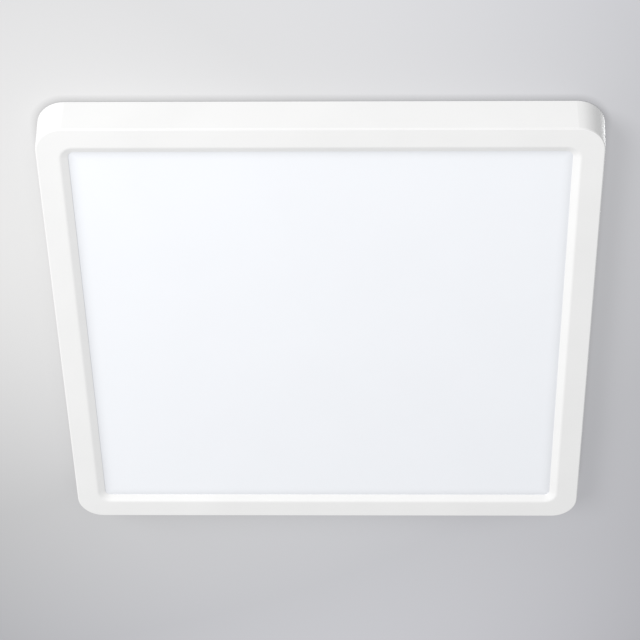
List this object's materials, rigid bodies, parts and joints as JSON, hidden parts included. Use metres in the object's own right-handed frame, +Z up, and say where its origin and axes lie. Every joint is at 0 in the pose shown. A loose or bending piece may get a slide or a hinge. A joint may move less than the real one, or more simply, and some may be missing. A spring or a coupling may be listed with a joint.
{
  "type": "flush mount ceiling light",
  "caption": "Square shallow edge-lit ceiling light: moulded frame with bevelled window and recessed opal diffuser, snapped onto a pressed steel ceiling bracket.",
  "frame": {"origin": "centre of the bracket's slot pattern, in the plane of the ceiling", "axes": "+Z up, out of the bracket's ceiling face into the ceiling; the lamp hangs towards -Z; +X along the bracket's length; -Y towards the side that the picture shows nearest"},
  "size_m": [0.4, 0.4, 0.03],
  "materials": {
    "frame_white": "satin moulded plastic",
    "diffuser_opal": "opal, faintly satin",
    "guide_clear": "clear acrylic",
    "reflector_white": "white film",
    "foam_grey": "fine closed-cell foam",
    "rail_aluminium": "mill finish extrusion",
    "board_white": "white solder mask",
    "led_yellow": "phosphor under clear resin",
    "tray_steel": "zinc coated sheet",
    "bracket_steel": "white powder coat on pressed steel",
    "screw_steel": "zinc plated",
    "clip_steel": "blue-grey spring steel",
    "rivet_aluminium": "plain",
    "driver_white": "fine moulded texture",
    "circuit_green": "green solder mask",
    "ferrite_black": "dark ferrite",
    "coil_tape": "yellow tape over the coil",
    "capacitor_sleeve": "dark shrink sleeve",
    "connector_white": "moulded",
    "terminal_grey": "moulded",
    "contact_brass": "plain",
    "button_orange": "moulded",
    "clamp_black": "moulded",
    "lead_brown": "smooth sleeve",
    "lead_blue": "smooth sleeve",
    "lead_green": "green and yellow sleeve",
    "lead_white": "smooth sleeve",
    "bush_black": "moulded",
    "lug_brass": "tinned",
    "saddle_white": "moulded"
  },
  "bodies": {
    "bracket": {"mounting_bracket": "bracket_steel", "cable_grommet": "bush_black"},
    "lamp_body": {"frame": "frame_white", "diffuser": "diffuser_opal", "light_guide": "guide_clear", "reflector_sheet": "reflector_white", "foam_pad": "foam_grey", "led_rail_left": "rail_aluminium", "led_rail_right": "rail_aluminium", "led_board_left": "board_white", "led_board_right": "board_white", "leds_left": "led_yellow", "leds_right": "led_yellow", "back_tray": "tray_steel", "tray_screws": "screw_steel", "rail_screws": "screw_steel", "driver_screws": "screw_steel", "terminal_screws": "screw_steel", "clamp_screws": "screw_steel", "earth_screw": "screw_steel", "clip_feet": "clip_steel", "clip_rivets": "rivet_aluminium", "driver_base": "driver_white", "driver_cover": "driver_white", "driver_board": "circuit_green", "driver_transformer": "ferrite_black", "driver_choke": "ferrite_black", "driver_coil": "coil_tape", "driver_capacitors": "capacitor_sleeve", "driver_connectors": "connector_white", "terminal_block": "terminal_grey", "terminal_contacts": "contact_brass", "cable_clamp": "clamp_black", "live_lead": "lead_brown", "neutral_lead": "lead_blue", "earth_lead": "lead_green", "led_leads_left": "lead_white", "led_leads_right": "lead_white", "lead_grommets": "bush_black", "earth_lug": "lug_brass", "lead_clips": "saddle_white"},
    "clip_back_left": {"spring_clip_back_left": "clip_steel"},
    "clip_back_right": {"spring_clip_back_right": "clip_steel"},
    "clip_front_left": {"spring_clip_front_left": "clip_steel"},
    "clip_front_right": {"spring_clip_front_right": "clip_steel"},
    "button_live": {"release_button_live": "button_orange"},
    "button_neutral": {"release_button_neutral": "button_orange"},
    "button_earth": {"release_button_earth": "button_orange"}
  },
  "joints": [
    {"name": "lamp_body_drop", "type": "slide", "parent": "bracket", "child": "lamp_body", "axis": [0, 0, -1], "range_m": [0, 0.06]},
    {"name": "clip_back_left_flex", "type": "hinge", "parent": "lamp_body", "child": "clip_back_left", "pos_m": [-0.055, 0.06285, -0.0184], "axis": [-1, 0, 0], "range_deg": [0, 14], "stiffness_Nm_per_rad": 1.7},
    {"name": "clip_back_right_flex", "type": "hinge", "parent": "lamp_body", "child": "clip_back_right", "pos_m": [0.055, 0.06285, -0.0184], "axis": [-1, 0, 0], "range_deg": [0, 14], "stiffness_Nm_per_rad": 1.7},
    {"name": "clip_front_left_flex", "type": "hinge", "parent": "lamp_body", "child": "clip_front_left", "pos_m": [-0.055, -0.06285, -0.0184], "axis": [1, 0, 0], "range_deg": [0, 14], "stiffness_Nm_per_rad": 1.7},
    {"name": "clip_front_right_flex", "type": "hinge", "parent": "lamp_body", "child": "clip_front_right", "pos_m": [0.055, -0.06285, -0.0184], "axis": [1, 0, 0], "range_deg": [0, 14], "stiffness_Nm_per_rad": 1.7},
    {"name": "button_earth_press", "type": "slide", "parent": "lamp_body", "child": "button_earth", "axis": [0, 0, -1], "range_m": [0, 0.0018], "stiffness_N_per_m": 1500},
    {"name": "button_neutral_press", "type": "slide", "parent": "lamp_body", "child": "button_neutral", "axis": [0, 0, -1], "range_m": [0, 0.0018], "stiffness_N_per_m": 1500},
    {"name": "button_live_press", "type": "slide", "parent": "lamp_body", "child": "button_live", "axis": [0, 0, -1], "range_m": [0, 0.0018], "stiffness_N_per_m": 1500}
  ]
}
